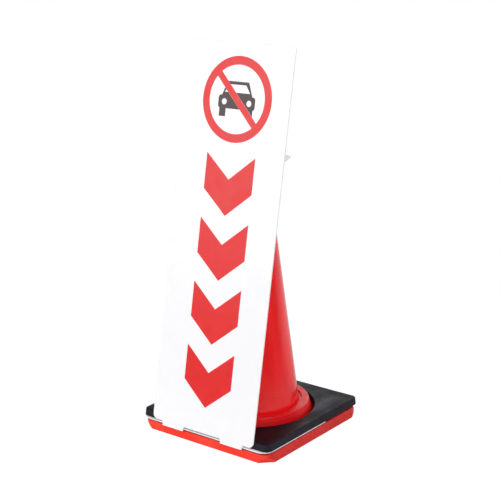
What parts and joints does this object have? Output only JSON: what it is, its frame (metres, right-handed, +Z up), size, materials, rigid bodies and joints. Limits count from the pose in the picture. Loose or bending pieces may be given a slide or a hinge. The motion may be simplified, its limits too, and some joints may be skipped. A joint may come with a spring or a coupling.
{
  "type": "cone sign",
  "caption": "Tall sign panel that leans on a traffic cone: a square rubber weight holds its foot sheet on the cone's base, and a fork on its back goes round the cone's tip.",
  "frame": {"origin": "on the cone's axis, level with the ground under the base", "axes": "+Z up along the cone's axis, -Y towards the sign's front, +X to the right of someone who reads the sign"},
  "size_m": [0.38, 0.3871, 0.9237],
  "materials": {
    "red_plastic": "glossy moulded",
    "black_rubber": "matt moulded",
    "white_sheet": "satin sheet",
    "red_film": "satin film",
    "dark_film": "satin film",
    "tape": "foam tape"
  },
  "bodies": {
    "cone": {"cone_base": "red_plastic", "cone_body": "red_plastic"},
    "weight": {"weight_ring": "black_rubber"},
    "foot": {"foot_sheet": "white_sheet"},
    "panel": {"sign_panel": "white_sheet", "ban_ring": "red_film", "car_upper": "dark_film", "car_lower": "dark_film", "chevron_1": "red_film", "chevron_2": "red_film", "chevron_3": "red_film", "chevron_4": "red_film", "cleat": "white_sheet", "tape_upper": "tape", "tape_lower": "tape"},
    "fork": {"cone_fork": "white_sheet"}
  },
  "joints": [
    {"name": "weight_lift", "type": "slide", "parent": "cone", "child": "weight", "axis": [0, 0, 1], "range_m": [0, 0.013]},
    {"name": "sign_slide", "type": "slide", "parent": "cone", "child": "foot", "axis": [0, -1, 0], "range_m": [0, 0.25]},
    {"name": "panel_tilt", "type": "hinge", "parent": "foot", "child": "panel", "pos_m": [0, -0.194, 0.0322], "axis": [1, 0, 0], "range_deg": [0, 40]},
    {"name": "fork_lift", "type": "hinge", "parent": "panel", "child": "fork", "pos_m": [0, -0.07712, 0.672], "axis": [1, 0, 0], "range_deg": [0, 78]}
  ]
}
